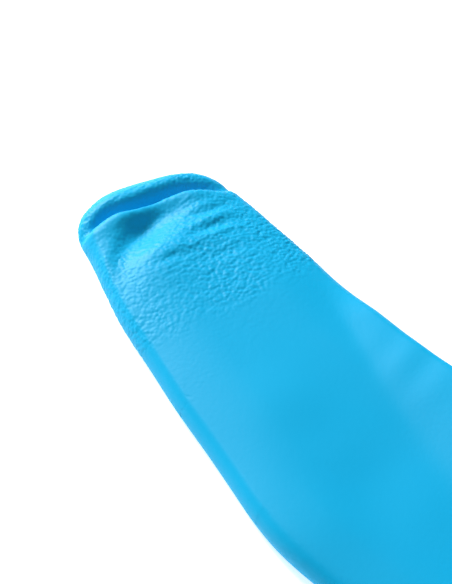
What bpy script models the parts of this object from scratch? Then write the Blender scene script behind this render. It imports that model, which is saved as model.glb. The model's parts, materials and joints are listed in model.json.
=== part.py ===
"""A pair of thin rubber gloves lying palm up on a table, thumbs outward.

Metres, +Z up. The origin is on the table, under the centre of the pair, and the fingers point along +Y.
Each glove is one dipped film. It is divided here at the places where it flexes, so every finger stall
has a root section and a tip section, and the cuff folds at the wrist.
"""

import math

import bpy
from mathutils import Vector

MM = 0.001

# Driving dimensions of one glove, in millimetres. "u" runs across the glove, "v" from the cuff to the fingers.
WALL = 0.4
GAP = 0.4
CUFF_LENGTH = 50.0
CUFF_HALF_WIDTH = 46.0
WRIST_HALF_WIDTH = 42.5
KNUCKLE_V = 158.0
FINGER_SPACING = 0.8
CUFF_MOUTH_HEIGHT = 12.0
WRIST_HEIGHT = 9.0
PALM_BULGE = 1.0
STALL_HEIGHT = 7.4
TIP_HEIGHT = 6.6
SIDE_RADIUS = 3.2
BEAD_RADIUS = 1.25

# Each finger stall: lean towards the thumb in degrees, length, half width at the root and near the tip.
FINGERS = {
    "index": (4.0, 72.0, 13.2, 11.6),
    "middle": (0.5, 82.0, 13.4, 11.8),
    "ring": (-4.0, 74.0, 12.8, 11.2),
    "little": (-11.0, 58.0, 11.6, 10.0),
}
ROOT_SHARE = 0.5

THUMB_LEAN = 44.0
THUMB_LENGTH = 64.0
THUMB_HALF_WIDTH = (17.6, 12.2)
THUMB_HINGE = (-61.5, 100.6)
THUMB_STUB_LENGTH = 50.0
THUMB_STUB_HALF_WIDTH = 9.5

# Where each glove lies: its origin on the table in millimetres, and its turn in degrees.
GLOVES = {
    "left": (-60.25, -116.43, 4.0),
    "right": (55.75, -119.43, -6.0),
}

BOTTOM_SEGMENTS = 4
TOP_SEGMENTS = 6
SIDE_SEGMENTS = 4
BEAD_SEGMENTS = 8

NITRILE = (0.0, 0.40, 0.83, 1.0)


def section(half_width, height, crown_share=0.25, inset=0.0):
    """A flattened tube's cross-section as (across, up, share of the width from -1 to 1), lying on the table.

    The bottom is flat, the sides are round and the top is crowned. An inset makes the inner wall.
    """
    wide = half_width - inset
    bottom = inset
    top = height - inset
    crown = (top - bottom) * crown_share
    shoulder = top - crown
    radius_across = min(SIDE_RADIUS, wide * 0.6)
    radius_up = (shoulder - bottom) / 2
    flat = wide - radius_across
    points = []
    for i in range(BOTTOM_SEGMENTS + 1):
        across = -flat + 2 * flat * i / BOTTOM_SEGMENTS
        points.append((across, bottom))
    for i in range(1, SIDE_SEGMENTS):
        angle = math.pi * i / SIDE_SEGMENTS
        points.append((flat + radius_across * math.sin(angle), bottom + radius_up * (1 - math.cos(angle))))
    for i in range(TOP_SEGMENTS + 1):
        across = flat - 2 * flat * i / TOP_SEGMENTS
        points.append((across, shoulder + crown * (1 - (across / flat) ** 2)))
    for i in range(1, SIDE_SEGMENTS):
        angle = math.pi * i / SIDE_SEGMENTS
        points.append((-flat - radius_across * math.sin(angle), bottom + radius_up * (1 + math.cos(angle))))
    return [(across, up, across / wide) for across, up in points]


def ring_at(along, half_width, height, inset=0.0, crown_share=0.25):
    """A section placed across a straight tube at a distance along it."""
    return [Vector((x, along, z)) for x, z, _ in section(half_width, height, crown_share, inset)]


def skin(rings):
    """Side faces of a loft through rings of equal length, with vertex numbers that start at 0."""
    count = len(rings[0])
    faces = []
    for row in range(len(rings) - 1):
        for i in range(count):
            j = (i + 1) % count
            faces.append((row * count + i, row * count + j, (row + 1) * count + j, (row + 1) * count + i))
    return faces


def shell_mesh(name, outer, inner, closed_end):
    """A thin wall between two lofts that start at the same open end. The far end is open too, or closed."""
    count = len(outer[0])
    vertices = [point for ring in outer for point in ring]
    inner_start = len(vertices)
    vertices += [point for ring in inner for point in ring]
    faces = skin(outer)
    faces += [tuple(inner_start + k for k in reversed(face)) for face in skin(inner)]
    outer_last = (len(outer) - 1) * count
    inner_last = inner_start + (len(inner) - 1) * count
    for i in range(count):
        j = (i + 1) % count
        faces.append((j, i, inner_start + i, inner_start + j))
        if not closed_end:
            faces.append((outer_last + i, outer_last + j, inner_last + j, inner_last + i))
    if closed_end:
        faces.append(tuple(outer_last + i for i in range(count)))
        faces.append(tuple(inner_last + i for i in reversed(range(count))))
    return mesh_of(name, vertices, faces)


def solid_mesh(name, rings):
    """A solid loft with both ends filled."""
    count = len(rings[0])
    vertices = [point for ring in rings for point in ring]
    last = (len(rings) - 1) * count
    faces = skin(rings)
    faces.append(tuple(reversed(range(count))))
    faces.append(tuple(last + i for i in range(count)))
    return mesh_of(name, vertices, faces)


def mesh_of(name, vertices, faces):
    """A mesh in metres whose faces point out: the lofts above turn clockwise, so each face is reversed."""
    mesh = bpy.data.meshes.new(name)
    mesh.from_pydata([point * MM for point in vertices], [], [tuple(reversed(face)) for face in faces])
    mesh.update()
    return mesh


def film_material():
    material = bpy.data.materials.new("blue_nitrile")
    material.use_nodes = True
    shader = material.node_tree.nodes["Principled BSDF"]
    shader.inputs["Base Color"].default_value = NITRILE
    shader.inputs["Roughness"].default_value = 0.45
    shader.inputs["Metallic"].default_value = 0.0
    return material


def lowered(ring, drop):
    """The ring moved down, for a mesh whose origin is at the height of its joint's axis."""
    return [point - Vector((0, 0, drop)) for point in ring]


def stall_root_mesh(name, length, half_widths, heights):
    """The open tube between a stall's root joint and its middle joint. Its origin is on the root joint."""
    rows = 3
    outer = []
    inner = []
    for i in range(rows + 1):
        share = i / rows
        along = GAP / 2 + (length - GAP) * share
        half_width = half_widths[0] + (half_widths[1] - half_widths[0]) * share
        height = heights[0] + (heights[1] - heights[0]) * share
        outer.append(lowered(ring_at(along, half_width, height), heights[0]))
        inner.append(lowered(ring_at(along, half_width, height, inset=WALL), heights[0]))
    return shell_mesh(name, outer, inner, closed_end=False)


def stall_tip_mesh(name, length, half_widths, heights):
    """The round closed end of a stall. Its origin is on the middle joint, at the film's top."""
    dome = half_widths[1]
    straight = length - dome
    outer = []
    inner = []
    for inset, rings in ((0.0, outer), (WALL, inner)):
        for i in range(2):
            share = i / 2
            half_width = half_widths[0] + (half_widths[1] - half_widths[0]) * share
            height = heights[0] + (heights[1] - heights[0]) * share
            along = GAP / 2 + (straight - GAP / 2) * share
            rings.append(lowered(ring_at(along, half_width, height, inset), heights[0]))
        for degrees in (0.0, 25.0, 48.0, 66.0, 80.0):
            angle = math.radians(degrees)
            half_width = dome * math.cos(angle)
            height = heights[1] * (0.45 + 0.55 * math.cos(angle))
            along = straight + (dome - inset) * math.sin(angle)
            rings.append(lowered(ring_at(along, half_width, height, inset), heights[0]))
    return shell_mesh(name, outer, inner, closed_end=True)


def knuckle_line():
    """Each finger's root centre, lean and half width, and the corners of the knuckle line, in glove millimetres."""
    total = sum(2 * half for _, _, half, _ in FINGERS.values()) + FINGER_SPACING * (len(FINGERS) - 1)
    corner = Vector((-total / 2, KNUCKLE_V, 0))
    roots = {}
    corners = [corner]
    for name, (lean, _, half, _) in FINGERS.items():
        across = Vector((math.cos(math.radians(lean)), math.sin(math.radians(lean)), 0))
        roots[name] = corner + across * half
        corner = corner + across * 2 * half
        corners.append(corner)
        corner = corner + across * FINGER_SPACING
    return roots, corners


def along_polyline(corners, share):
    """The point at a share from 0 to 1 of a polyline's length, carried on straight past its ends."""
    lengths = [(b - a).length for a, b in zip(corners, corners[1:])]
    left = share * sum(lengths)
    for i, length in enumerate(lengths):
        if left <= length or i == len(lengths) - 1:
            return corners[i] + (corners[i + 1] - corners[i]) * (left / length)
        left -= length


def palm_rings(inset, overrun):
    """The palm as a loft from the wrist to the knuckle line. A core overruns both open ends."""
    _, corners = knuckle_line()
    back = Vector((0, -GAP / 2, 0))
    knuckles = [corner + back + Vector((0, overrun, 0)) for corner in corners]
    wrist_v = CUFF_LENGTH + GAP / 2 - overrun
    rings = []
    for share in (0.0, 0.25, 0.5, 0.75, 1.0):
        bulge = math.sin(math.pi * share)
        half = WRIST_HALF_WIDTH + (FINGERS_HALF_WIDTH - WRIST_HALF_WIDTH) * share ** 1.6
        height = WRIST_HEIGHT + (STALL_HEIGHT - WRIST_HEIGHT) * share + PALM_BULGE * bulge
        ring = []
        for across, up, part in section(half, height, inset=inset):
            straight = Vector((across, wrist_v + (KNUCKLE_V - wrist_v) * share, 0))
            edge = along_polyline(knuckles, (across / FINGERS_HALF_WIDTH + 1) / 2)
            follow = max(0.0, share * 2 - 1) ** 2
            point = straight.lerp(edge, follow)
            ring.append(Vector((point.x, point.y, up)))
        rings.append(ring)
    return rings


def thumb_stub_rings(inset, overrun):
    """The thumb's root: a tube that starts inside the palm and ends at the thumb's root joint."""
    lean = math.radians(THUMB_LEAN)
    along = Vector((-math.sin(lean), math.cos(lean), 0))
    across = Vector((math.cos(lean), math.sin(lean), 0))
    hinge = Vector((THUMB_HINGE[0], THUMB_HINGE[1], 0))
    rings = []
    for share in (0.0, 0.5, 1.0):
        reach = (THUMB_STUB_LENGTH - (inset * 2 if share == 0.0 else 0)) * (1 - share)
        centre = hinge - along * reach - along * GAP / 2
        if share == 1.0:
            centre = centre + along * overrun
        half = THUMB_STUB_HALF_WIDTH + (THUMB_HALF_WIDTH[0] - THUMB_STUB_HALF_WIDTH) * share
        ring = []
        for x, z, _ in section(half, STALL_HEIGHT, inset=inset):
            point = centre + across * x
            ring.append(Vector((point.x, point.y, z)))
        rings.append(ring)
    return rings


def mirrored(rings, side):
    """The rings for the left glove as they are, or mirrored across u for the right one."""
    if side == "left":
        return rings
    return [[Vector((-p.x, p.y, p.z)) for p in reversed(ring)] for ring in rings]


def link(name, mesh, material, parent, location=(0.0, 0.0, 0.0), turn=0.0):
    """A new object at a place and a turn in its parent's frame. Millimetres and degrees."""
    obj = bpy.data.objects.new(name, mesh)
    bpy.context.scene.collection.objects.link(obj)
    obj.parent = parent
    obj.location = Vector(location) * MM
    obj.rotation_euler = (0, 0, math.radians(turn))
    if not mesh.materials:
        mesh.materials.append(material)
    mesh.shade_smooth()
    mesh.set_sharp_from_angle(angle=math.radians(50))
    return obj


def helper(name, mesh, material, parent):
    """A solid that only joins to, or cuts, another object."""
    obj = link(name, mesh, material, parent)
    obj.hide_render = True
    obj.display_type = "WIRE"
    return obj


def add_boolean(obj, other, operation):
    modifier = obj.modifiers.new(operation.lower() + "_" + other.name, "BOOLEAN")
    modifier.operation = operation
    modifier.object = other
    modifier.solver = "MANIFOLD"


def add_palm(side, material, parent):
    """The hand's bag: palm and thumb root in one film, open at the wrist, the knuckles and the thumb."""
    overrun = 4.0
    palm = link(side + "_palm", solid_mesh("palm", mirrored(palm_rings(0.0, 0.0), side)), material, parent)
    stub = solid_mesh("stub", mirrored(thumb_stub_rings(0.0, 0.0), side))
    core = solid_mesh("core", mirrored(palm_rings(WALL, overrun), side))
    stub_core = solid_mesh("stub_core", mirrored(thumb_stub_rings(WALL, overrun), side))
    add_boolean(palm, helper(side + "_thumb_stub", stub, material, parent), "UNION")
    add_boolean(palm, helper(side + "_palm_core", core, material, parent), "DIFFERENCE")
    add_boolean(palm, helper(side + "_thumb_core", stub_core, material, parent), "DIFFERENCE")


def cuff_mesh():
    """The cuff, open at both ends. Its origin is on the wrist joint, and it runs along its own +Y."""
    outer = []
    inner = []
    rows = 4
    for i in range(rows + 1):
        share = i / rows
        along = GAP / 2 + (CUFF_LENGTH - 2 * BEAD_RADIUS - GAP * 1.5) * share
        half = WRIST_HALF_WIDTH + (CUFF_HALF_WIDTH - WRIST_HALF_WIDTH) * share
        height = WRIST_HEIGHT + (CUFF_MOUTH_HEIGHT - WRIST_HEIGHT) * share
        outer.append(lowered(ring_at(along, half, height), WRIST_HEIGHT))
        inner.append(lowered(ring_at(along, half, height, inset=WALL), WRIST_HEIGHT))
    return shell_mesh("cuff", outer, inner, closed_end=False)


def bead_mesh():
    """The rolled edge: a round bead that follows the cuff's open end."""
    centre_line = ring_at(CUFF_LENGTH - BEAD_RADIUS, CUFF_HALF_WIDTH, CUFF_MOUTH_HEIGHT, inset=BEAD_RADIUS)
    centre_line = lowered(centre_line, WRIST_HEIGHT)
    count = len(centre_line)
    rings = []
    for i, point in enumerate(centre_line):
        tangent = (centre_line[(i + 1) % count] - centre_line[i - 1]).normalized()
        along = Vector((0, 1, 0))
        out = tangent.cross(along)
        rings.append([
            point + (out * math.cos(turn) + along * math.sin(turn)) * BEAD_RADIUS
            for turn in (math.tau * k / BEAD_SEGMENTS for k in range(BEAD_SEGMENTS))
        ])
    rings.append(rings[0])
    faces = [tuple(k % (count * BEAD_SEGMENTS) for k in face) for face in skin(rings)]
    vertices = [point for ring in rings[:-1] for point in ring]
    return mesh_of("cuff_bead", vertices, faces)


def add_stall(side, name, root, lean, length, half_widths, meshes, material, parent):
    """A stall's root and tip sections, each an object whose origin is on its joint."""
    sign = 1 if side == "left" else -1
    root_length = length * ROOT_SHARE
    middle = (half_widths[0] + half_widths[1]) / 2
    middle_height = (STALL_HEIGHT + TIP_HEIGHT) / 2
    if name not in meshes:
        meshes[name] = (
            stall_root_mesh(name + "_root", root_length, (half_widths[0], middle), (STALL_HEIGHT, middle_height)),
            stall_tip_mesh(name + "_tip", length - root_length, (middle, half_widths[1]), (middle_height, TIP_HEIGHT)),
        )
    root_mesh, tip_mesh = meshes[name]
    turn = lean * sign
    along = Vector((-math.sin(math.radians(turn)), math.cos(math.radians(turn)), 0))
    hinge = Vector((root[0] * sign, root[1], STALL_HEIGHT))
    link(f"{side}_{name}_root", root_mesh, material, parent, hinge, turn)
    bend = hinge + along * root_length
    bend.z = middle_height
    link(f"{side}_{name}_tip", tip_mesh, material, parent, bend, turn)


def add_glove(side, meshes, material):
    x, y, turn = GLOVES[side]
    glove = bpy.data.objects.new(side + "_glove", None)
    bpy.context.scene.collection.objects.link(glove)
    glove.location = Vector((x, y, 0)) * MM
    glove.rotation_euler = (0, 0, math.radians(turn))
    add_palm(side, material, glove)
    wrist = (0.0, CUFF_LENGTH, WRIST_HEIGHT)
    link(side + "_cuff", meshes["cuff"], material, glove, wrist, 180.0)
    link(side + "_cuff_bead", meshes["cuff_bead"], material, glove, wrist, 180.0)
    add_stall(side, "thumb", THUMB_HINGE, THUMB_LEAN, THUMB_LENGTH, THUMB_HALF_WIDTH, meshes, material, glove)
    roots, _ = knuckle_line()
    for name, (lean, length, half_root, half_tip) in FINGERS.items():
        add_stall(side, name, roots[name], lean, length, (half_root, half_tip), meshes, material, glove)


FINGERS_HALF_WIDTH = (
    sum(2 * half for _, _, half, _ in FINGERS.values()) + FINGER_SPACING * (len(FINGERS) - 1)
) / 2


def main():
    for obj in list(bpy.data.objects):
        bpy.data.objects.remove(obj)
    material = film_material()
    meshes = {"cuff": cuff_mesh(), "cuff_bead": bead_mesh()}
    for side in GLOVES:
        add_glove(side, meshes, material)


main()
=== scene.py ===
import json
import math
from types import SimpleNamespace

import bpy
import numpy as np
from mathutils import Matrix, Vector


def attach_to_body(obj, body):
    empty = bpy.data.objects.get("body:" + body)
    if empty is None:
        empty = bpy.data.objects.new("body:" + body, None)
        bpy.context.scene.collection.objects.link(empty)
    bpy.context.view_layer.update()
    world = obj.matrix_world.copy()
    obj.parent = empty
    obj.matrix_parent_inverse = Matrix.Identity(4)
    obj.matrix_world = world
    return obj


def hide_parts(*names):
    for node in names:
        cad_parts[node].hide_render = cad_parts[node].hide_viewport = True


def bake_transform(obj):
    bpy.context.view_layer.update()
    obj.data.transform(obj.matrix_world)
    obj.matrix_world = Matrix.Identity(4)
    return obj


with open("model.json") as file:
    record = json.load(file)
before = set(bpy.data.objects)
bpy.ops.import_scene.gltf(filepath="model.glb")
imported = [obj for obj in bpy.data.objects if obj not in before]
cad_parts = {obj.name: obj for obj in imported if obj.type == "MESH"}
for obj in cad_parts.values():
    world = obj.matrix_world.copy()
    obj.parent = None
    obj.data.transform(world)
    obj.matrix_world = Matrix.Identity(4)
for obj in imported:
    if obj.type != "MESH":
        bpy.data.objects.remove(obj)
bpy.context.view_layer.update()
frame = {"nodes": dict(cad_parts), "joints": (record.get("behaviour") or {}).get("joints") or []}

# Two thin rubber gloves. Each is one continuous film, made as a smooth implicit surface in the hand's own
# plane and cut into the pieces that move. Hand coordinates are millimetres: p runs away from the thumb, v
# from the wrist to the fingers, z up from the table. Both hands use the same ones, so the right is mirrored.
# On a stall, s is the distance from its tip and c how far aside, the same way as p.

MM = 0.001
WALL = 0.4
TIP_WALL = 1.2
STALLS = ("thumb", "index", "middle", "ring", "little")
FINGERS = STALLS[1:]

# The mesh: the film's base grid, and how many times finer each stall is than that.
GRID = (1.25, 1.25, 1.0)
GRID_MARGIN = 6.0
GRID_LOW = (-126.0, -1.5)
GRID_HIGH = (70.0, 2.5)
LONGEST_FINGER = 90.0
FINE = 4
FINEST = 8
FINEST_ABOVE = 0.6
SETTLE_ROUNDS = 4
FINE_SETTLE_ROUNDS = 2
LARGEST_SETTLE_STEP = 0.8
SLOPE_STEP = 0.05

# The film's shape: its rolled-over edge, its crowned top, its heights and the fillets between its parts.
RIM = 1.5
TIP_RIM = 3.4
TIP_ROUND = 12.0
CROWN_REACH = 9.5
CROWN = 0.3
MIDDLE_SHARE = 0.42
TIP_POWER = 2.2
KNUCKLE_DROP = 1.5
FINGER_BLEND = 0.7
KNUCKLE_BLEND = 3.0
THUMB_BLEND = 6.0
MOUTH_HEIGHT = 12.0
WRIST_HEIGHT = 9.0
KNUCKLE_HEIGHT = 6.0
PALM_BULGE = 1.4
STALL_HEIGHT = 4.6
TIP_HEIGHT = 5.2
SWAY = 1.1
SWAY_SIZE = 34.0
STALL_BACK = 24.0
THUMB_STUB = 50.0
THUMB_STUB_HALF = 10.0

# The thumb stall's half width, by the distance from its tip.
THUMB_OUTLINE = (
    (0.0, 11.6), (4.0, 11.5), (8.0, 11.4), (14.0, 12.5), (22.0, 13.65), (30.0, 14.35), (40.0, 15.05),
    (48.0, 15.6), (54.0, 16.3), (64.0, 17.5),
)
# How far the stall's middle line drifts away from the thumb's side, by the distance from its tip.
THUMB_DRIFT = (
    (0.0, 0.0), (8.0, 1.0), (14.0, 0.6), (22.0, 0.0), (30.0, -0.1), (38.0, -0.55), (48.0, -0.6), (64.0, -0.4),
)
THUMB_TIP_AXIS = 9.0

# Where the film bends, measured from each joint.
BEND = 8.0
ROOT_BEND = (1.0, 18.0)
THUMB_ROOT_BEND = (4.0, 22.0)
WRIST_BEND = (8.0, -12.0)
OWNED_WITHIN = 1.5
BEAD_RADIUS = 1.25
BEAD_SIDES = 16

# The pebbled finish on the stall ends.
PEBBLE_REACH = 30.6
FINGER_PEBBLE_REACH = 28.0
PEBBLE_SIZE = 0.5
PEBBLE_HEIGHT = 0.13
PEBBLE_FADE = 3.6
GRAIN_SHARE = 0.14
GRAIN_FADE = 20.0

# Small soft dents beside the thumb's main folds: distance from the tip, aside, width, length and depth.
SOFT_FOLDS = (
    (16.3, 5.0, 0.9, 4.2, 0.28), (18.7, -2.5, 1.0, 3.8, 0.30), (13.0, 5.5, 0.8, 3.4, 0.22),
    (21.2, 1.5, 1.0, 5.5, 0.14),
)

# Start, finish and spread of each group of creases, in hand coordinates.
CREASE_FANS = (
    ((-44.0, 24.0), (-14.0, 58.0), 9.0),
    ((-30.0, 6.0), (26.0, 2.0), 7.0),
    ((-34.0, 84.0), (30.0, 74.0), 9.0),
    ((4.0, 20.0), (22.0, 92.0), 12.0),
    ((-26.0, -34.0), (22.0, -28.0), 9.0),
)
CREASES_IN_FAN = 4

PIECES = ["palm", "cuff"] + [f"{name}_{part}" for name in STALLS for part in ("root", "tip")]


# ---------------------------------------------------------------- numbers and noise

def smoothstep(x):
    x = np.clip(x, 0.0, 1.0)
    return x * x * (3 - 2 * x)


def smooth_max(a, b, reach):
    """The larger of two fields, with a fillet where they are within reach of each other."""
    near = np.maximum(reach - np.abs(a - b), 0.0) / reach
    return np.maximum(a, b) + near * near * reach / 4


def hill(x, width):
    return np.exp(-(x / width) ** 2)


def curve(x, points, softness=3.0):
    """A smooth curve that passes close to the points, read at x."""
    xs, ys = zip(*points)
    grid = np.arange(xs[0] - 4 * softness, xs[-1] + 4 * softness, 0.25)
    raw = np.interp(grid, xs, ys)
    kernel = hill(np.arange(-2 * softness, 2 * softness + 0.1, 0.25), softness)
    soft = np.convolve(np.pad(raw, len(kernel) // 2, mode="edge"), kernel / kernel.sum(), mode="valid")
    return np.interp(x, grid, soft[:len(grid)])


def lattice(i, j, k, seed):
    """A repeatable number from -1 to 1 for each lattice point."""
    h = (i * 374761393 + j * 668265263 + k * 1442695041 + seed * 974634777) & 0xFFFFFFFF
    h = ((h ^ (h >> 13)) * 1274126177) & 0xFFFFFFFF
    h = ((h ^ (h >> 15)) * 2246822519) & 0xFFFFFFFF
    return (h ^ (h >> 16)) / 2147483648.0 - 1.0


def noise(x, y, z, size, seed):
    """Smooth value noise from -1 to 1 with lumps of the given size."""
    cell = [np.floor(a / size).astype(np.int64) for a in (x, y, z)]
    part = [smoothstep(a / size - c) for a, c in zip((x, y, z), cell)]
    total = 0.0
    for corner in range(8):
        bits = [(corner >> b) & 1 for b in range(3)]
        weight = 1.0
        for bit, share in zip(bits, part):
            weight = weight * (share if bit else 1 - share)
        total = total + weight * lattice(*(c + bit for c, bit in zip(cell, bits)), seed)
    return total


def flat_noise(x, y, size, seed):
    return noise(x, y, np.zeros_like(x), size, seed)


def pebbles(points, size, seed):
    """Round bumps from 0 to 1 on scattered centres, one to each cell of the given size."""
    cell = np.floor(points / size).astype(np.int64)
    nearest = np.full(len(points), 9.0)
    for di in (-1, 0, 1):
        for dj in (-1, 0, 1):
            for dk in (-1, 0, 1):
                at = cell + (di, dj, dk)
                gap = 0.0
                for axis in range(3):
                    jitter = 0.5 + 0.45 * lattice(at[:, 0], at[:, 1], at[:, 2], seed + axis)
                    gap = gap + (points[:, axis] / size - at[:, axis] - jitter) ** 2
                nearest = np.minimum(nearest, gap)
    return np.clip(1.0 - nearest / 0.55, 0.0, 1.0)


# ---------------------------------------------------------------- the hand's skeleton, from the CAD frame

JOINTS = {joint["name"]: joint for joint in frame["joints"]}


def cad_points(node):
    """The CAD solid's vertices, in the world at rest."""
    co = np.empty(len(frame["nodes"][node].data.vertices) * 3)
    frame["nodes"][node].data.vertices.foreach_get("co", co)
    return co.reshape(-1, 3)


def read_hand(side):
    """The hand's frame and its stalls, from the joints and the CAD solids."""
    wrist = JOINTS[side + "_wrist_bend"]
    up = np.array((0.0, 0.0, 1.0))
    to_fingers = -np.cross(up, wrist["axis"])
    away = np.cross(to_fingers, up) * (1 if side == "left" else -1)
    hand = SimpleNamespace(side=side, mirrored=side == "right", seed=11 if side == "left" else 47)
    hand.thumb_still = 0.0 if hand.mirrored else 1.0
    hand.origin = np.array((wrist["pos_m"][0], wrist["pos_m"][1], 0.0))
    hand.axes = np.array((away, to_fingers, up))
    hand.mouth = -to_hand(hand, cad_points(side + "_cuff_bead"))[:, 1].min()
    hand.cuff_half = np.abs(to_hand(hand, cad_points(side + "_cuff_bead"))[:, 0]).max()
    cuff = to_hand(hand, cad_points(side + "_cuff"))
    hand.wrist_half = np.abs(cuff[cuff[:, 1] > -1.0][:, 0]).max()
    hand.stalls = {name: read_stall(hand, name) for name in STALLS}
    first, last = hand.stalls["index"], hand.stalls["little"]
    hand.knuckle_half = (corner(last, 1)[0] - corner(first, -1)[0]) / 2
    hand.knuckle_v = max(corner(s, side_sign)[1] for s in (first, last) for side_sign in (-1, 1))
    return hand


def read_stall(hand, name):
    root, bend = (
        to_hand(hand, np.array([JOINTS[f"{hand.side}_{name}_{part}_bend"]["pos_m"]]))[0, :2]
        for part in ("root", "middle")
    )
    along = (bend - root) / np.linalg.norm(bend - root)
    stall = SimpleNamespace(name=name, root=root, along=along, lateral=np.array((along[1], -along[0])))
    stall.bend = float(np.linalg.norm(bend - root))
    reach, aside = place(stall, *to_hand(hand, cad_points(f"{hand.side}_{name}_root"))[:, :2].T)
    stall.root_half = float(np.abs(aside[reach < 2.0]).max())
    stall.bend_half = float(np.abs(aside[reach > stall.bend - 2.0]).max())
    reach, _ = place(stall, *to_hand(hand, cad_points(f"{hand.side}_{name}_tip"))[:, :2].T)
    stall.length = float(reach.max())
    return stall


def to_hand(hand, points):
    return (points - hand.origin) @ hand.axes.T / MM


def to_world(hand, points):
    return points * MM @ hand.axes + hand.origin


def place(stall, p, v):
    """How far along the stall from its root joint, and how far aside."""
    dp, dv = p - stall.root[0], v - stall.root[1]
    return dp * stall.along[0] + dv * stall.along[1], dp * stall.lateral[0] + dv * stall.lateral[1]


def corner(stall, side_sign):
    return stall.root + stall.lateral * stall.root_half * side_sign


# ---------------------------------------------------------------- the film as a field

def half_width(stall, along):
    from_tip = stall.length - along
    if stall.name == "thumb":
        outline = curve(from_tip, THUMB_OUTLINE)
        stub = smoothstep((8.0 - along) / THUMB_STUB)
        return outline + (THUMB_STUB_HALF - THUMB_OUTLINE[-1][1]) * stub
    taper = (stall.bend_half - stall.root_half) / stall.bend
    return stall.root_half + taper * np.clip(along, -10.0, stall.length)


def stall_depth(stall, p, v):
    """How far inside the stall's outline a point of the table is: millimetres near the outline."""
    along, aside = place(stall, p, v)
    half = half_width(stall, along)
    if stall.name == "thumb":
        aside = aside - curve(stall.length - along, THUMB_DRIFT)
    tip_axis = THUMB_TIP_AXIS if stall.name == "thumb" else half * 0.92
    back = THUMB_STUB if stall.name == "thumb" else STALL_BACK
    end = np.maximum(1 - (stall.length - along) / tip_axis, (-along - back) / 10.0)
    end = np.maximum(end, 0.0)
    share = np.abs(aside) / half
    norm = (end ** TIP_POWER + share ** TIP_POWER) ** (1 / TIP_POWER) + 1e-6
    steep = np.hypot((end / norm) ** (TIP_POWER - 1) / tip_axis, (share / norm) ** (TIP_POWER - 1) / half)
    return np.minimum((1 - norm) / (steep + 1e-6), half)


def palm_depth(hand, p, v):
    """The same for the palm and cuff."""
    share = np.clip(v / hand.knuckle_v, 0.0, 1.1)
    flare = np.clip(-v / hand.mouth, 0.0, 1.3)
    half = hand.wrist_half + (hand.knuckle_half - hand.wrist_half) * share ** 1.6
    half = half + (hand.cuff_half - hand.wrist_half) * flare ** 1.3
    aside = half - np.abs(p)
    edge = [corner(hand.stalls[name], side_sign) for name in FINGERS for side_sign in (-1, 1)]
    top = np.interp(p, [e[0] for e in edge], [e[1] for e in edge]) - KNUCKLE_DROP - v
    near = np.maximum(4.0 - np.abs(aside - top), 0.0) / 4.0
    return np.minimum(aside, top) - near * near


def film_at(hand, p, v):
    """Depth inside the outline, the film's height, its middle height and its rim, at places on the table."""
    p = p + SWAY * flat_noise(p, v, SWAY_SIZE, hand.seed) * away_from_thumb(hand, p, v)
    depths = [palm_depth(hand, p, v)]
    palm_share = np.clip(v / hand.knuckle_v, 0.0, 1.0)
    cuff_share = np.clip(-v / hand.mouth, 0.0, 1.0)
    palm_height = WRIST_HEIGHT + (KNUCKLE_HEIGHT - WRIST_HEIGHT) * palm_share
    palm_height = palm_height + PALM_BULGE * np.sin(np.pi * palm_share) ** 2
    heights = [palm_height + (MOUTH_HEIGHT - WRIST_HEIGHT) * cuff_share ** 1.5]
    rim = RIM
    fingers = None
    for name in STALLS:
        stall = hand.stalls[name]
        depth = stall_depth(stall, p, v)
        along, _ = place(stall, p, v)
        depths.append(depth)
        heights.append(STALL_HEIGHT + (TIP_HEIGHT - STALL_HEIGHT) * smoothstep(along / stall.length))
        tip = smoothstep(1 - (stall.length - along) / TIP_ROUND) * (depth > -3.0)
        rim = rim + (TIP_RIM - RIM) * tip
        if name == "thumb":
            thumb = depth
        else:
            fingers = depth if fingers is None else smooth_max(fingers, depth, FINGER_BLEND)
    depth = smooth_max(smooth_max(depths[0], fingers, KNUCKLE_BLEND), thumb, THUMB_BLEND)
    weights = [np.exp(np.clip(d, -12.0, 12.0) / 3.0) for d in depths]
    height = sum(w * h for w, h in zip(weights, heights)) / sum(weights)
    crown = 1 - (1 - np.clip(depth / CROWN_REACH, 0.0, 1.0)) ** 2
    top = height * (1 - CROWN) + height * CROWN * crown
    middle = height * (1 - CROWN) * MIDDLE_SHARE
    return depth, top, middle, rim


def away_from_thumb(hand, p, v):
    """From 0 near the left glove's thumb, which keeps its outline, to 1 elsewhere."""
    along, aside = place(hand.stalls["thumb"], p, v)
    near = smoothstep((along + 30.0) / 30.0) * smoothstep((34.0 - np.abs(aside)) / 10.0)
    return 1 - near * hand.thumb_still


def field_from(film, z):
    """1 in the film's middle, 0 on its surface and below 0 outside it."""
    depth, top, middle, rim = film
    out = np.maximum(0.0, 1 - depth / rim)
    up = np.where(z > middle, (z - middle) / (top - middle), (middle - z) / middle)
    return 1 - np.sqrt(out * out + up * up)


def field(hand, points):
    return field_from(film_at(hand, points[:, 0], points[:, 1]), points[:, 2])


def slope(hand, points):
    rows = []
    for axis in range(3):
        shift = np.zeros(3)
        shift[axis] = SLOPE_STEP
        rows.append((field(hand, points + shift) - field(hand, points - shift)) / (2 * SLOPE_STEP))
    return np.stack(rows, axis=1)


def settle(hand, points, rounds):
    """Points moved on to the film's surface, with its outward normals."""
    for _ in range(rounds):
        gradient = slope(hand, points)
        size = np.maximum((gradient ** 2).sum(axis=1), 1e-4)
        step = gradient * (field(hand, points) / size)[:, None]
        length = np.linalg.norm(step, axis=1)[:, None]
        points = points - step * np.minimum(1.0, LARGEST_SETTLE_STEP / np.maximum(length, 1e-9))
    gradient = slope(hand, points)
    return points, -gradient / np.maximum(np.linalg.norm(gradient, axis=1), 1e-9)[:, None]


# ---------------------------------------------------------------- meshing

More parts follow.
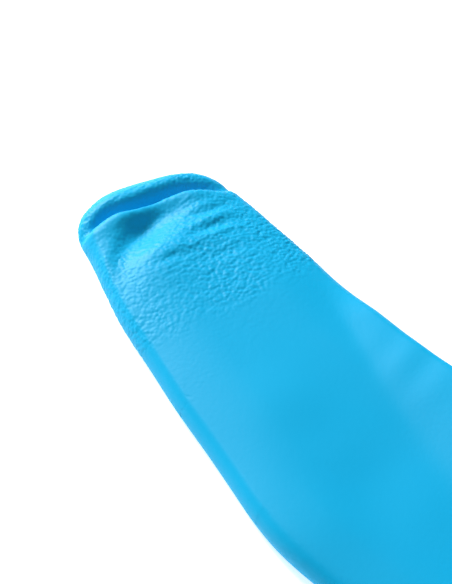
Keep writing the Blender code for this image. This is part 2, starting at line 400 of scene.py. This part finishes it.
def surface_net(hand):
    """Points and quads all round the film, on the base grid."""
    low = np.array((GRID_LOW[0], -hand.mouth - GRID_MARGIN, GRID_LOW[1]))
    high = np.array((GRID_HIGH[0], hand.knuckle_v + LONGEST_FINGER, MOUTH_HEIGHT + GRID_HIGH[1]))
    axes = [np.arange(a, b, step) for a, b, step in zip(low, high, GRID)]
    p, v = np.meshgrid(axes[0], axes[1], indexing="ij")
    film = film_at(hand, p.ravel(), v.ravel())
    film = [np.broadcast_to(part, p.size).reshape(p.shape)[:, :, None] for part in film]
    values = field_from(film, axes[2][None, None, :])
    inside = values > 0
    count = np.array(inside.shape) - 1
    total = np.zeros(count, int)
    for corner_number in range(8):
        total += cell_corner(inside, corner_number, count)
    active = (total > 0) & (total < 8)
    number = np.full(count, -1)
    number[active] = np.arange(active.sum())
    at = np.argwhere(active)
    sums = np.zeros((len(at), 3))
    hits = np.zeros(len(at))
    for axis in range(3):
        others = [a for a in range(3) if a != axis]
        for first in (0, 1):
            for second in (0, 1):
                start = at.copy()
                start[:, others[0]] += first
                start[:, others[1]] += second
                finish = start.copy()
                finish[:, axis] += 1
                a = values[tuple(start.T)]
                b = values[tuple(finish.T)]
                crossed = (a > 0) != (b > 0)
                share = np.where(crossed, a / np.where(a == b, 1.0, a - b), 0.0)
                point = start.astype(float)
                point[:, axis] += share
                sums += np.where(crossed[:, None], point, 0.0)
                hits += crossed
    points = low + sums / hits[:, None] * np.array(GRID)
    quads = []
    for axis in range(3):
        a, b = [(axis + 1) % 3, (axis + 2) % 3]
        here = np.take(inside, range(inside.shape[axis] - 1), axis=axis)
        there = np.take(inside, range(1, inside.shape[axis]), axis=axis)
        for leaving in (True, False):
            edges = np.argwhere((here != there) & (here == leaving))
            edges = edges[(edges[:, a] > 0) & (edges[:, b] > 0)]
            edges = edges[(edges[:, a] < count[a]) & (edges[:, b] < count[b])]
            ring = []
            for da, db in ((-1, -1), (0, -1), (0, 0), (-1, 0)):
                cell = edges.copy()
                cell[:, a] += da
                cell[:, b] += db
                ring.append(number[tuple(cell.T)])
            ring = np.stack(ring, axis=1)
            quads.append(ring if leaving else ring[:, ::-1])
    return points, np.concatenate(quads)


def cell_corner(values, corner_number, count):
    start = [(corner_number >> b) & 1 for b in range(3)]
    return values[tuple(slice(s, s + n) for s, n in zip(start, count))]


def refine(quads, chosen, times, first_number):
    """The chosen quads split into times x times each.

    Returns the new quads, which chosen quad each came from, and for each new vertex its four parent
    vertices, their weights, and whether it lies on the edge of the chosen area.
    """
    old = quads[chosen]
    sides = np.stack([old, np.roll(old, -1, axis=1)], axis=2)
    pairs = np.sort(sides.reshape(-1, 2), axis=1)
    unique, inverse, uses = np.unique(pairs, axis=0, return_inverse=True, return_counts=True)
    inverse = inverse.reshape(len(old), 4)
    forward = sides[:, :, 0] < sides[:, :, 1]
    inner = times - 1
    steps = np.arange(1, times)
    edge_start = first_number + inverse * inner
    face_start = first_number + len(unique) * inner + np.arange(len(old)) * inner * inner
    grid = np.empty((len(old), times + 1, times + 1), int)
    grid[:, 0, 0], grid[:, times, 0], grid[:, times, times], grid[:, 0, times] = old.T
    rows = [
        edge_start[:, side, None] + np.where(forward[:, side, None], steps - 1, inner - steps)
        for side in range(4)
    ]
    grid[:, 1:times, 0] = rows[0]
    grid[:, times, 1:times] = rows[1]
    grid[:, 1:times, times] = rows[2][:, ::-1]
    grid[:, 0, 1:times] = rows[3][:, ::-1]
    local = (steps - 1)[:, None] * inner + (steps - 1)[None, :]
    grid[:, 1:times, 1:times] = face_start[:, None, None] + local
    new = np.stack([grid[:, :-1, :-1], grid[:, 1:, :-1], grid[:, 1:, 1:], grid[:, :-1, 1:]], axis=3)
    source = np.repeat(np.arange(len(old)), times * times)
    share = steps / times
    edge_parents = np.repeat(unique[:, [0, 1, 0, 1]], inner, axis=0)
    edge_weights = np.tile(np.stack([1 - share, share, 0 * share, 0 * share], axis=1), (len(unique), 1))
    a, b = (g.ravel() for g in np.meshgrid(share, share, indexing="ij"))
    face_weights = np.stack([(1 - a) * (1 - b), a * (1 - b), a * b, (1 - a) * b], axis=1)
    face_weights = np.tile(face_weights, (len(old), 1))
    face_parents = np.repeat(old, inner * inner, axis=0)
    edge = np.concatenate([np.repeat(uses == 1, inner), np.zeros(len(face_parents), bool)])
    return (
        new.reshape(-1, 4), source,
        np.concatenate([edge_parents, face_parents]), np.concatenate([edge_weights, face_weights]), edge,
    )


def vertex_normals(points, quads):
    a = points[quads[:, 2]] - points[quads[:, 0]]
    b = points[quads[:, 3]] - points[quads[:, 1]]
    face = np.cross(a, b)
    total = np.zeros_like(points)
    for column in range(4):
        for axis in range(3):
            total[:, axis] += np.bincount(quads[:, column], face[:, axis], len(points))
    return total / np.maximum(np.linalg.norm(total, axis=1), 1e-12)[:, None]


# ---------------------------------------------------------------- folds, creases and pebbles

def thumb_folds(hand, s, c):
    """Rise of the film, and its shift away from the tip. The left thumb's two folds nearly meet."""
    if hand.mirrored:
        line = curve(c, ((-13, 9.5), (-4, 8.2), (4, 7.4), (13, 6.4)))
        depth = curve(c, ((-13, 1.2), (-6, 2.4), (4, 2.6), (10, 1.6), (13, 0.8)))
        second = curve(c, ((-13, 17.5), (-2, 16.0), (6, 14.0), (13, 13.0)))
        second_depth = curve(c, ((-12, 0.2), (-2, 0.9), (6, 1.6), (13, 0.8)))
    else:
        line = ((-10, 6.6), (-7.8, 6.1), (-5, 6.0), (-3, 6.7), (3, 6.9), (5.5, 7.3), (8, 8.3), (10.5, 9.9))
        depth = ((-11, 0.3), (-8, 1.6), (-5, 2.9), (-1, 2.7), (3, 2.2), (7, 1.9), (9.5, 1.2), (11.5, 0.4))
        second = ((-12, 18.0), (-10, 15.2), (-7.7, 13.0), (-4.4, 11.4), (-2, 10.4), (1.2, 9.4), (5, 9.2))
        second_depth = ((-13, 0.0), (-10, 0.4), (-7, 1.1), (-3, 1.9), (0, 1.6), (3, 0.9), (6, 0.1))
        line, depth = curve(c, line, 1.2), curve(c, depth, 1.5)
        second, second_depth = curve(c, second, 1.2), curve(c, second_depth, 1.2)
    x = s - line
    valley = np.where(x < 0, hill(x, 1.7), hill(x, 0.75))
    rise = -depth * valley + 0.45 * hill(x - 1.7, 1.2) * (depth / 3.0)
    shift = -0.5 * (depth / 3.0) * hill(x - 0.9, 0.9)
    y = s - second
    rise = rise - second_depth * np.where(y < 0, hill(y, 2.2), hill(y, 3.6))
    main = 0.55 * hill(s - 17.0, 4.5) * hill(c + 3.5, 5.5)
    soft = 0.0
    for at, side, width, long, deep in SOFT_FOLDS:
        soft = soft - deep * hill(s - at - 0.16 * (c - side), width) * hill(c - side, long)
    wave = 0.07 * np.sin(s * 2.1 + 0.2 * c + 1.5 * flat_noise(s, c, 6.0, hand.seed + 3))
    wave = wave * hill(s - 15.0, 4.5) * hill(c - 5.0, 5.5)
    lip = -0.7 * smoothstep((5.0 - s) / 4.0) * smoothstep((c + 4.0) / 8.0)
    return rise + main + soft + wave + lip, shift


def thumb_sweep(s, c):
    """The broad shallow folds in the smooth part of the thumb stall."""
    off = c - curve(s, ((30.0, 11.5), (37.0, 10.3), (50.0, 7.3), (64.0, 5.6), (80.0, 4.0)))
    slope_up = 0.36 * (off + np.sqrt(off * off + 1.2)) / 2
    rise = slope_up * smoothstep((s - 30.0) / 12.0) * (1 - smoothstep((s - 74.0) / 14.0))
    rise = rise - 0.3 * hill(s - 63.0 + 0.3 * c, 6.0) * hill(c + 2.0, 8.0)
    rise = rise + 0.16 * hill(s - 47.0, 5.0) * hill(c + 5.0, 5.0)
    ripple = 0.05 * np.sin(0.95 * (s + 0.35 * c)) * hill(s - 52.0, 7.0) * hill(c - 12.0, 4.0)
    return rise + ripple


def finger_folds(hand, stall, s, c):
    """Softer folds near a finger stall's end and at its middle bend."""
    seed = hand.seed + 7 * STALLS.index(stall.name)
    lean = 0.25 * lattice(seed, 1, 2, 5)
    first = 7.5 + 2.0 * lattice(seed, 3, 1, 9) + lean * c
    depth = 1.3 + 0.7 * lattice(seed, 8, 2, 1)
    x = s - first + 0.9 * flat_noise(s, c, 6.0, seed)
    rise = -depth * np.where(x < 0, hill(x, 1.9), hill(x, 1.0)) + 0.35 * hill(x - 2.4, 1.6)
    y = s - first - 6.5 - 0.35 * c * np.sign(lean)
    rise = rise - 0.7 * depth * hill(y, 2.2) * hill(c + 4.0 * np.sign(lean), 6.0)
    bend = s - (stall.length - stall.bend) + 1.2 * flat_noise(s, c, 9.0, seed + 1)
    rise = rise + 0.22 * np.cos(bend * 1.15) * hill(bend, 6.5)
    return rise, np.zeros_like(rise)


def creases(hand, p, v):
    """Long soft ridges that a hand leaves in the palm, round the thumb's root and across the wrist."""
    draw = np.random.RandomState(hand.seed)
    rise = np.zeros_like(p)
    for start, finish, spread in CREASE_FANS:
        for _ in range(CREASES_IN_FAN):
            a = np.array(start) + draw.uniform(-spread, spread, 2)
            b = np.array(finish) + draw.uniform(-spread, spread, 2)
            bow = draw.uniform(-6.0, 6.0)
            width = draw.uniform(1.3, 2.6)
            height = draw.uniform(0.25, 0.6)
            length = np.linalg.norm(b - a)
            way = (b - a) / length
            t = ((p - a[0]) * way[0] + (v - a[1]) * way[1]) / length
            off = (p - a[0]) * way[1] - (v - a[1]) * way[0] - bow * 4 * t * (1 - t)
            taper = smoothstep(t / 0.3) * smoothstep((1 - t) / 0.3)
            ridge = np.where(off < 0, hill(off, width), hill(off, width * 0.55))
            ridge = ridge - 0.45 * hill(off - width * 1.6, width)
            rise = rise + height * taper * ridge
    return rise


def displace(hand, points, normals):
    """The settled film with its folds, creases and pebbles."""
    p, v, z = points.T
    _, top, middle, _ = film_at(hand, p, v)
    upper = smoothstep((z / np.maximum(top, 1.0) - 0.25) / 0.5)
    rise = 0.42 * flat_noise(p, v, 26.0, hand.seed + 1) + 0.16 * flat_noise(p, v, 10.0, hand.seed + 2)
    rise = rise + creases(hand, p, v) * smoothstep(palm_depth(hand, p, v) / 12.0)
    shift = np.zeros_like(points)
    roughness = np.zeros(len(points))
    for name in STALLS:
        stall = hand.stalls[name]
        along, aside = place(stall, p, v)
        own = stall_depth(stall, p, v) > -2.0
        s = stall.length - along
        inside = own & (along > 0)
        if name == "thumb":
            lift, slide = thumb_folds(hand, s, aside)
            reach = PEBBLE_REACH
        else:
            lift, slide = finger_folds(hand, stall, s, aside)
            reach = FINGER_PEBBLE_REACH
        fade = smoothstep(along / 14.0) * inside
        rise = rise * (1 - 0.65 * smoothstep(along / 20.0) * inside) + lift * fade
        if name == "thumb":
            rise = rise + thumb_sweep(s, aside) * (stall_depth(stall, p, v) > -2.0)
        shift[:, 0] += -stall.along[0] * slide * fade * upper
        shift[:, 1] += -stall.along[1] * slide * fade * upper
        ragged = 0.8 * flat_noise(s, aside, 3.0, hand.seed + 5)
        texture = (1 - GRAIN_SHARE) * smoothstep((reach + 1.0 + ragged - s) / PEBBLE_FADE)
        texture = (texture + GRAIN_SHARE * smoothstep((reach + 22.0 - s) / GRAIN_FADE)) * inside
        strength = 0.72 + 0.38 * flat_noise(s, aside, 8.0, hand.seed + 6)
        if name == "thumb" and not hand.mirrored:
            strength = strength * (0.5 + 0.8 * hill(s - 22.0, 9.0) * smoothstep((aside + 7.0) / 10.0))
            strength = strength * (1 + 0.9 * smoothstep((8.0 - s) / 4.0))
        roughness = np.maximum(roughness, texture * strength)
    moved = points + shift
    moved[:, 2] += rise * upper
    moved[:, 2] += mouth_lift(hand, v) * (1 - upper)
    on = roughness > 0.01
    bump = pebbles(points[on], PEBBLE_SIZE, hand.seed) - 0.4
    bump = bump + 0.45 * noise(*points[on].T, PEBBLE_SIZE * 1.15, hand.seed + 9)
    moved[on] += normals[on] * (PEBBLE_HEIGHT * roughness[on] * bump)[:, None]
    return moved


def mouth_lift(hand, v):
    """The underside rises at the mouth to meet the rolled edge."""
    return BEAD_RADIUS * smoothstep((-v - hand.mouth + 9.0) / 7.5)


# ---------------------------------------------------------------- pieces

def regions(hand, p, v):
    """Which piece each place belongs to, as an index into PIECES."""
    region = np.where(v > WRIST_BEND[0], 0, 1)
    owner = np.full(p.shape, -1)
    best = np.full(p.shape, -OWNED_WITHIN)
    for index, name in enumerate(STALLS):
        depth = stall_depth(hand.stalls[name], p, v)
        owner = np.where(depth > best, index, owner)
        best = np.maximum(best, depth)
    for index, name in enumerate(STALLS):
        stall = hand.stalls[name]
        along, _ = place(stall, p, v)
        start = THUMB_ROOT_BEND[0] if name == "thumb" else ROOT_BEND[0]
        region = np.where((owner == index) & (along > start), 2 + 2 * index, region)
        region = np.where((owner == index) & (along > stall.bend - BEND), 3 + 2 * index, region)
    return region


def film_mesh(hand):
    """The whole glove: points, quads, each quad's piece and the normals, then the same for the base grid."""
    points, quads = surface_net(hand)
    points, normals = settle(hand, points, SETTLE_ROUNDS)
    centre = points[quads].mean(axis=1)
    keep = centre[:, 1] > -hand.mouth + BEAD_RADIUS
    quads, centre = quads[keep], centre[keep]
    piece = regions(hand, centre[:, 0], centre[:, 1])
    base = displace(hand, points, normals)
    base_normals = vertex_normals(base, quads)
    tips = (piece >= 3) & (piece % 2 == 1)
    thumb = (piece == 2) | (piece == 3)
    finest = tips & thumb & (centre[:, 2] > FINEST_ABOVE) & (not hand.mirrored)
    fine = (tips | thumb) & ~finest
    all_points, all_quads, all_piece = [base], [quads[~(finest | fine)]], [piece[~(finest | fine)]]
    number = len(base)
    edges = [np.zeros(len(base), bool)]
    straight_normals = [base_normals]
    for chosen, times in ((fine, FINE), (finest, FINEST)):
        if not chosen.any():
            continue
        new, source, parents, weights, edge = refine(quads, chosen, times, number)
        guess = (points[parents] * weights[:, :, None]).sum(axis=1)
        moved = displace(hand, *settle(hand, guess, FINE_SETTLE_ROUNDS))
        straight = (base[parents] * weights[:, :, None]).sum(axis=1)
        all_points.append(np.where(edge[:, None], straight, moved))
        straight_normals.append((base_normals[parents] * weights[:, :, None]).sum(axis=1))
        all_quads.append(new)
        all_piece.append(piece[chosen][source])
        edges.append(edge)
        number += len(guess)
    everything = np.concatenate(all_points)
    faces = np.concatenate(all_quads)
    found = vertex_normals(everything, faces)
    edge = np.concatenate(edges)
    found[edge] = np.concatenate(straight_normals)[edge]
    return SimpleNamespace(
        points=everything, quads=faces, piece=np.concatenate(all_piece), normals=found,
        base=base, base_quads=quads, base_piece=piece, base_normals=base_normals,
    )


def make_object(hand, name, points, quads, normals):
    """A mesh object in world coordinates, which keeps its hand coordinates for the material."""
    used, index = np.unique(quads, return_inverse=True)
    quads = index.reshape(quads.shape)
    if hand.mirrored:
        quads = quads[:, ::-1]
    world = to_world(hand, points[used])
    turned = normals[used] @ hand.axes
    mesh = bpy.data.meshes.new(name)
    mesh.vertices.add(len(world))
    mesh.vertices.foreach_set("co", world.astype(np.float32).ravel())
    mesh.loops.add(quads.size)
    mesh.loops.foreach_set("vertex_index", quads.astype(np.int32).ravel())
    mesh.polygons.add(len(quads))
    mesh.polygons.foreach_set("loop_start", np.arange(0, quads.size, 4, dtype=np.int32))
    mesh.update(calc_edges=True)
    mesh.validate()
    rest = mesh.attributes.new("rest", "FLOAT_VECTOR", "POINT")
    rest.data.foreach_set("vector", (points[used] * MM).astype(np.float32).ravel())
    mesh.shade_smooth()
    mesh.normals_split_custom_set_from_vertices(turned.tolist())
    obj = bpy.data.objects.new(name, mesh)
    bpy.context.scene.collection.objects.link(obj)
    return obj


def along_world(hand, at, way, distance):
    """The world position some way along a line of the hand's plane."""
    point = np.array((*(at + way * distance), 0.0))
    return tuple(to_world(hand, point[None])[0])


def attach(hand, obj, piece):
    """Joins the palm piece to its body, leaves the other pieces in place, and lets each stand for its CAD
    solid.
    """
    side = hand.side
    if piece == "palm":
        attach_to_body(obj, side + "_palm")
    elif piece == "cuff":
        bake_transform(obj)
    else:
        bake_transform(obj)
    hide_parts(f"{side}_{piece}")


def add_film(hand, material):
    film = film_mesh(hand)
    for index, piece in enumerate(PIECES):
        outer = film.quads[film.piece == index]
        lining = film.base_quads[film.base_piece == index][:, ::-1]
        wall = TIP_WALL if piece.endswith("tip") else WALL
        points = np.concatenate([film.points, film.base - film.base_normals * wall])
        normals = np.concatenate([film.normals, -film.base_normals])
        quads = np.concatenate([outer, lining + len(film.points)])
        obj = make_object(hand, f"{hand.side}_{piece}_film", points, quads, normals)
        obj.data.materials.append(material)
        attach(hand, obj, piece)
    return film


def add_bead(hand, film, material):
    """The rolled edge: a tube that follows the film's open end."""
    sides = np.stack([film.base_quads, np.roll(film.base_quads, -1, axis=1)], axis=2)
    pairs = np.sort(sides.reshape(-1, 2), axis=1)
    unique, uses = np.unique(pairs, axis=0, return_counts=True)
    rim = np.unique(unique[uses == 1])
    ring = film.base[rim]
    angle = np.arctan2((ring[:, 2] - MOUTH_HEIGHT / 2) * 6.0, ring[:, 0])
    ring = ring[np.argsort(angle)]
    ring[:, 1] = -hand.mouth + BEAD_RADIUS + 0.1
    for _ in range(6):
        ring = (np.roll(ring, 1, axis=0) + 2 * ring + np.roll(ring, -1, axis=0)) / 4
    gaps = np.linalg.norm(np.roll(ring, -1, axis=0) - ring, axis=1)
    reach = np.concatenate([[0.0], np.cumsum(gaps)])
    count = int(reach[-1] / 0.8)
    at = np.arange(count) * reach[-1] / count
    closed = np.concatenate([ring, ring[:1]])
    path = np.stack([np.interp(at, reach, closed[:, axis]) for axis in range(3)], axis=1)
    along = np.roll(path, -1, axis=0) - np.roll(path, 1, axis=0)
    along /= np.linalg.norm(along, axis=1)[:, None]
    out = np.cross(along, (0.0, 1.0, 0.0))
    out *= np.sign((out * (path - path.mean(axis=0))).sum(axis=1).mean())
    out /= np.linalg.norm(out, axis=1)[:, None]
    path = path - out * 0.25
    turn = np.arange(BEAD_SIDES) * math.tau / BEAD_SIDES
    thick = BEAD_RADIUS * (1 + 0.07 * flat_noise(at, 0 * at, 7.0, hand.seed + 12))
    points = path[:, None] + thick[:, None, None] * (
        out[:, None] * np.cos(turn)[None, :, None] + np.array((0.0, -1.0, 0.0)) * np.sin(turn)[None, :, None]
    )
    points = points.reshape(-1, 3)
    points[:, 2] = np.maximum(points[:, 2], 0.02)
    i, j = (g.ravel() for g in np.meshgrid(np.arange(count), np.arange(BEAD_SIDES), indexing="ij"))
    next_i, next_j = (i + 1) % count, (j + 1) % BEAD_SIDES
    here, there = i * BEAD_SIDES, next_i * BEAD_SIDES
    quads = np.stack([here + j, there + j, there + next_j, here + next_j], axis=1)
    normals = vertex_normals(points, quads)
    if (normals * (points - np.repeat(path, BEAD_SIDES, axis=0))).sum() < 0:
        quads, normals = quads[:, ::-1], -normals
    obj = make_object(hand, hand.side + "_rolled_bead", points, quads, normals)
    obj.data.materials.append(material)
    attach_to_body(obj, hand.side + "_cuff")
    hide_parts(hand.side + "_cuff_bead")


# ---------------------------------------------------------------- materials

def film_material(name, color, light, roughness):
    """Satin rubber: a slow drift in colour, faint clouding in the gloss, and a very fine skin."""
    material = bpy.data.materials.new(name)
    material.use_nodes = True
    nodes, links = material.node_tree.nodes, material.node_tree.links
    shader = nodes["Principled BSDF"]
    rest = nodes.new("ShaderNodeAttribute")
    rest.attribute_name = "rest"

    def cloud(scale, detail):
        node = nodes.new("ShaderNodeTexNoise")
        node.inputs["Scale"].default_value = scale
        node.inputs["Detail"].default_value = detail
        links.new(rest.outputs["Vector"], node.inputs["Vector"])
        return node.outputs["Fac"]

    mix = nodes.new("ShaderNodeMix")
    mix.data_type = "RGBA"
    mix.inputs["A"].default_value = (*color, 1.0)
    mix.inputs["B"].default_value = (*light, 1.0)
    links.new(cloud(55.0, 4.0), mix.inputs["Factor"])
    links.new(mix.outputs["Result"], shader.inputs["Base Color"])
    gloss = nodes.new("ShaderNodeMapRange")
    gloss.inputs["To Min"].default_value = roughness - 0.05
    gloss.inputs["To Max"].default_value = roughness + 0.07
    links.new(cloud(140.0, 3.0), gloss.inputs["Value"])
    links.new(gloss.outputs["Result"], shader.inputs["Roughness"])
    bump = nodes.new("ShaderNodeBump")
    bump.inputs["Strength"].default_value = 0.25
    bump.inputs["Distance"].default_value = 0.00006
    links.new(cloud(1900.0, 3.0), bump.inputs["Height"])
    links.new(bump.outputs["Normal"], shader.inputs["Normal"])
    shader.inputs["Specular IOR Level"].default_value = 0.16
    return material


def plain_material(name, color, glow):
    """A matte surface with a little light of its own."""
    material = bpy.data.materials.new(name)
    material.use_nodes = True
    shader = material.node_tree.nodes["Principled BSDF"]
    shader.inputs["Base Color"].default_value = (*color, 1.0)
    shader.inputs["Roughness"].default_value = 0.9
    shader.inputs["Specular IOR Level"].default_value = 0.1
    shader.inputs["Emission Color"].default_value = (1.0, 1.0, 1.0, 1.0)
    shader.inputs["Emission Strength"].default_value = glow
    return material


# ---------------------------------------------------------------- stage

CAMERA_TURN = 14.3
CAMERA_HEIGHT = 46.0
CAMERA_DISTANCE = 0.264
LENS = 120.0
TARGET_FROM_TIP = 23.7
TARGET_ASIDE = 2.1
FLOOR_HALF = 3.0
FLOOR_Z = -0.0004


def add_stage(hand):
    floor = bpy.data.meshes.new("floor")
    corners = [(x * FLOOR_HALF, y * FLOOR_HALF, FLOOR_Z) for x, y in ((-1, -1), (1, -1), (1, 1), (-1, 1))]
    floor.from_pydata(corners, [], [(0, 1, 2, 3)])
    floor_object = bpy.data.objects.new("floor", floor)
    floor.materials.append(plain_material("white_floor", (0.9, 0.9, 0.9), 0.6))
    bpy.context.scene.collection.objects.link(floor_object)

    thumb = hand.stalls["thumb"]
    aside = thumb.root + thumb.lateral * TARGET_ASIDE
    target = Vector(along_world(hand, aside, thumb.along, thumb.length - TARGET_FROM_TIP))
    turn, height = math.radians(CAMERA_TURN), math.radians(CAMERA_HEIGHT)
    ahead = Vector((-math.sin(turn) * math.cos(height), math.cos(turn) * math.cos(height), -math.sin(height)))
    camera = bpy.data.cameras.new("camera")
    camera.lens = LENS
    camera.clip_start = 0.01
    camera_object = bpy.data.objects.new("camera", camera)
    camera_object.location = target - ahead * CAMERA_DISTANCE
    camera_object.rotation_euler = ahead.to_track_quat("-Z", "Y").to_euler()
    bpy.context.scene.collection.objects.link(camera_object)
    bpy.context.scene.camera = camera_object

    add_light("key", target + Vector((-0.74, 0.62, 0.56)), target, 0.35, 19.0)
    add_light("fill", target + Vector((0.2, -0.6, 1.1)), target, 0.9, 1.5)

    world = bpy.data.worlds.new("studio")
    world.use_nodes = True
    world.node_tree.nodes["Background"].inputs["Color"].default_value = (1.0, 1.0, 1.0, 1.0)
    world.node_tree.nodes["Background"].inputs["Strength"].default_value = 0.23
    bpy.context.scene.world = world
    bpy.context.scene.view_settings.view_transform = "Standard"


def add_light(name, place_at, target, size, power):
    """A soft round light that faces the target."""
    light = bpy.data.lights.new(name, "AREA")
    light.shape = "DISK"
    light.size = size
    light.energy = power
    obj = bpy.data.objects.new(name, light)
    obj.location = place_at
    obj.rotation_euler = (target - place_at).to_track_quat("-Z", "Y").to_euler()
    bpy.context.scene.collection.objects.link(obj)


def main():
    film_look = film_material("blue_film", (0.0, 0.42, 0.77), (0.0, 0.46, 0.81), 0.5)
    bead_look = film_material("blue_bead", (0.0, 0.38, 0.68), (0.0, 0.43, 0.72), 0.5)
    for side in ("left", "right"):
        hand = read_hand(side)
        film = add_film(hand, film_look)
        add_bead(hand, film, bead_look)
        if side == "left":
            add_stage(hand)


main()
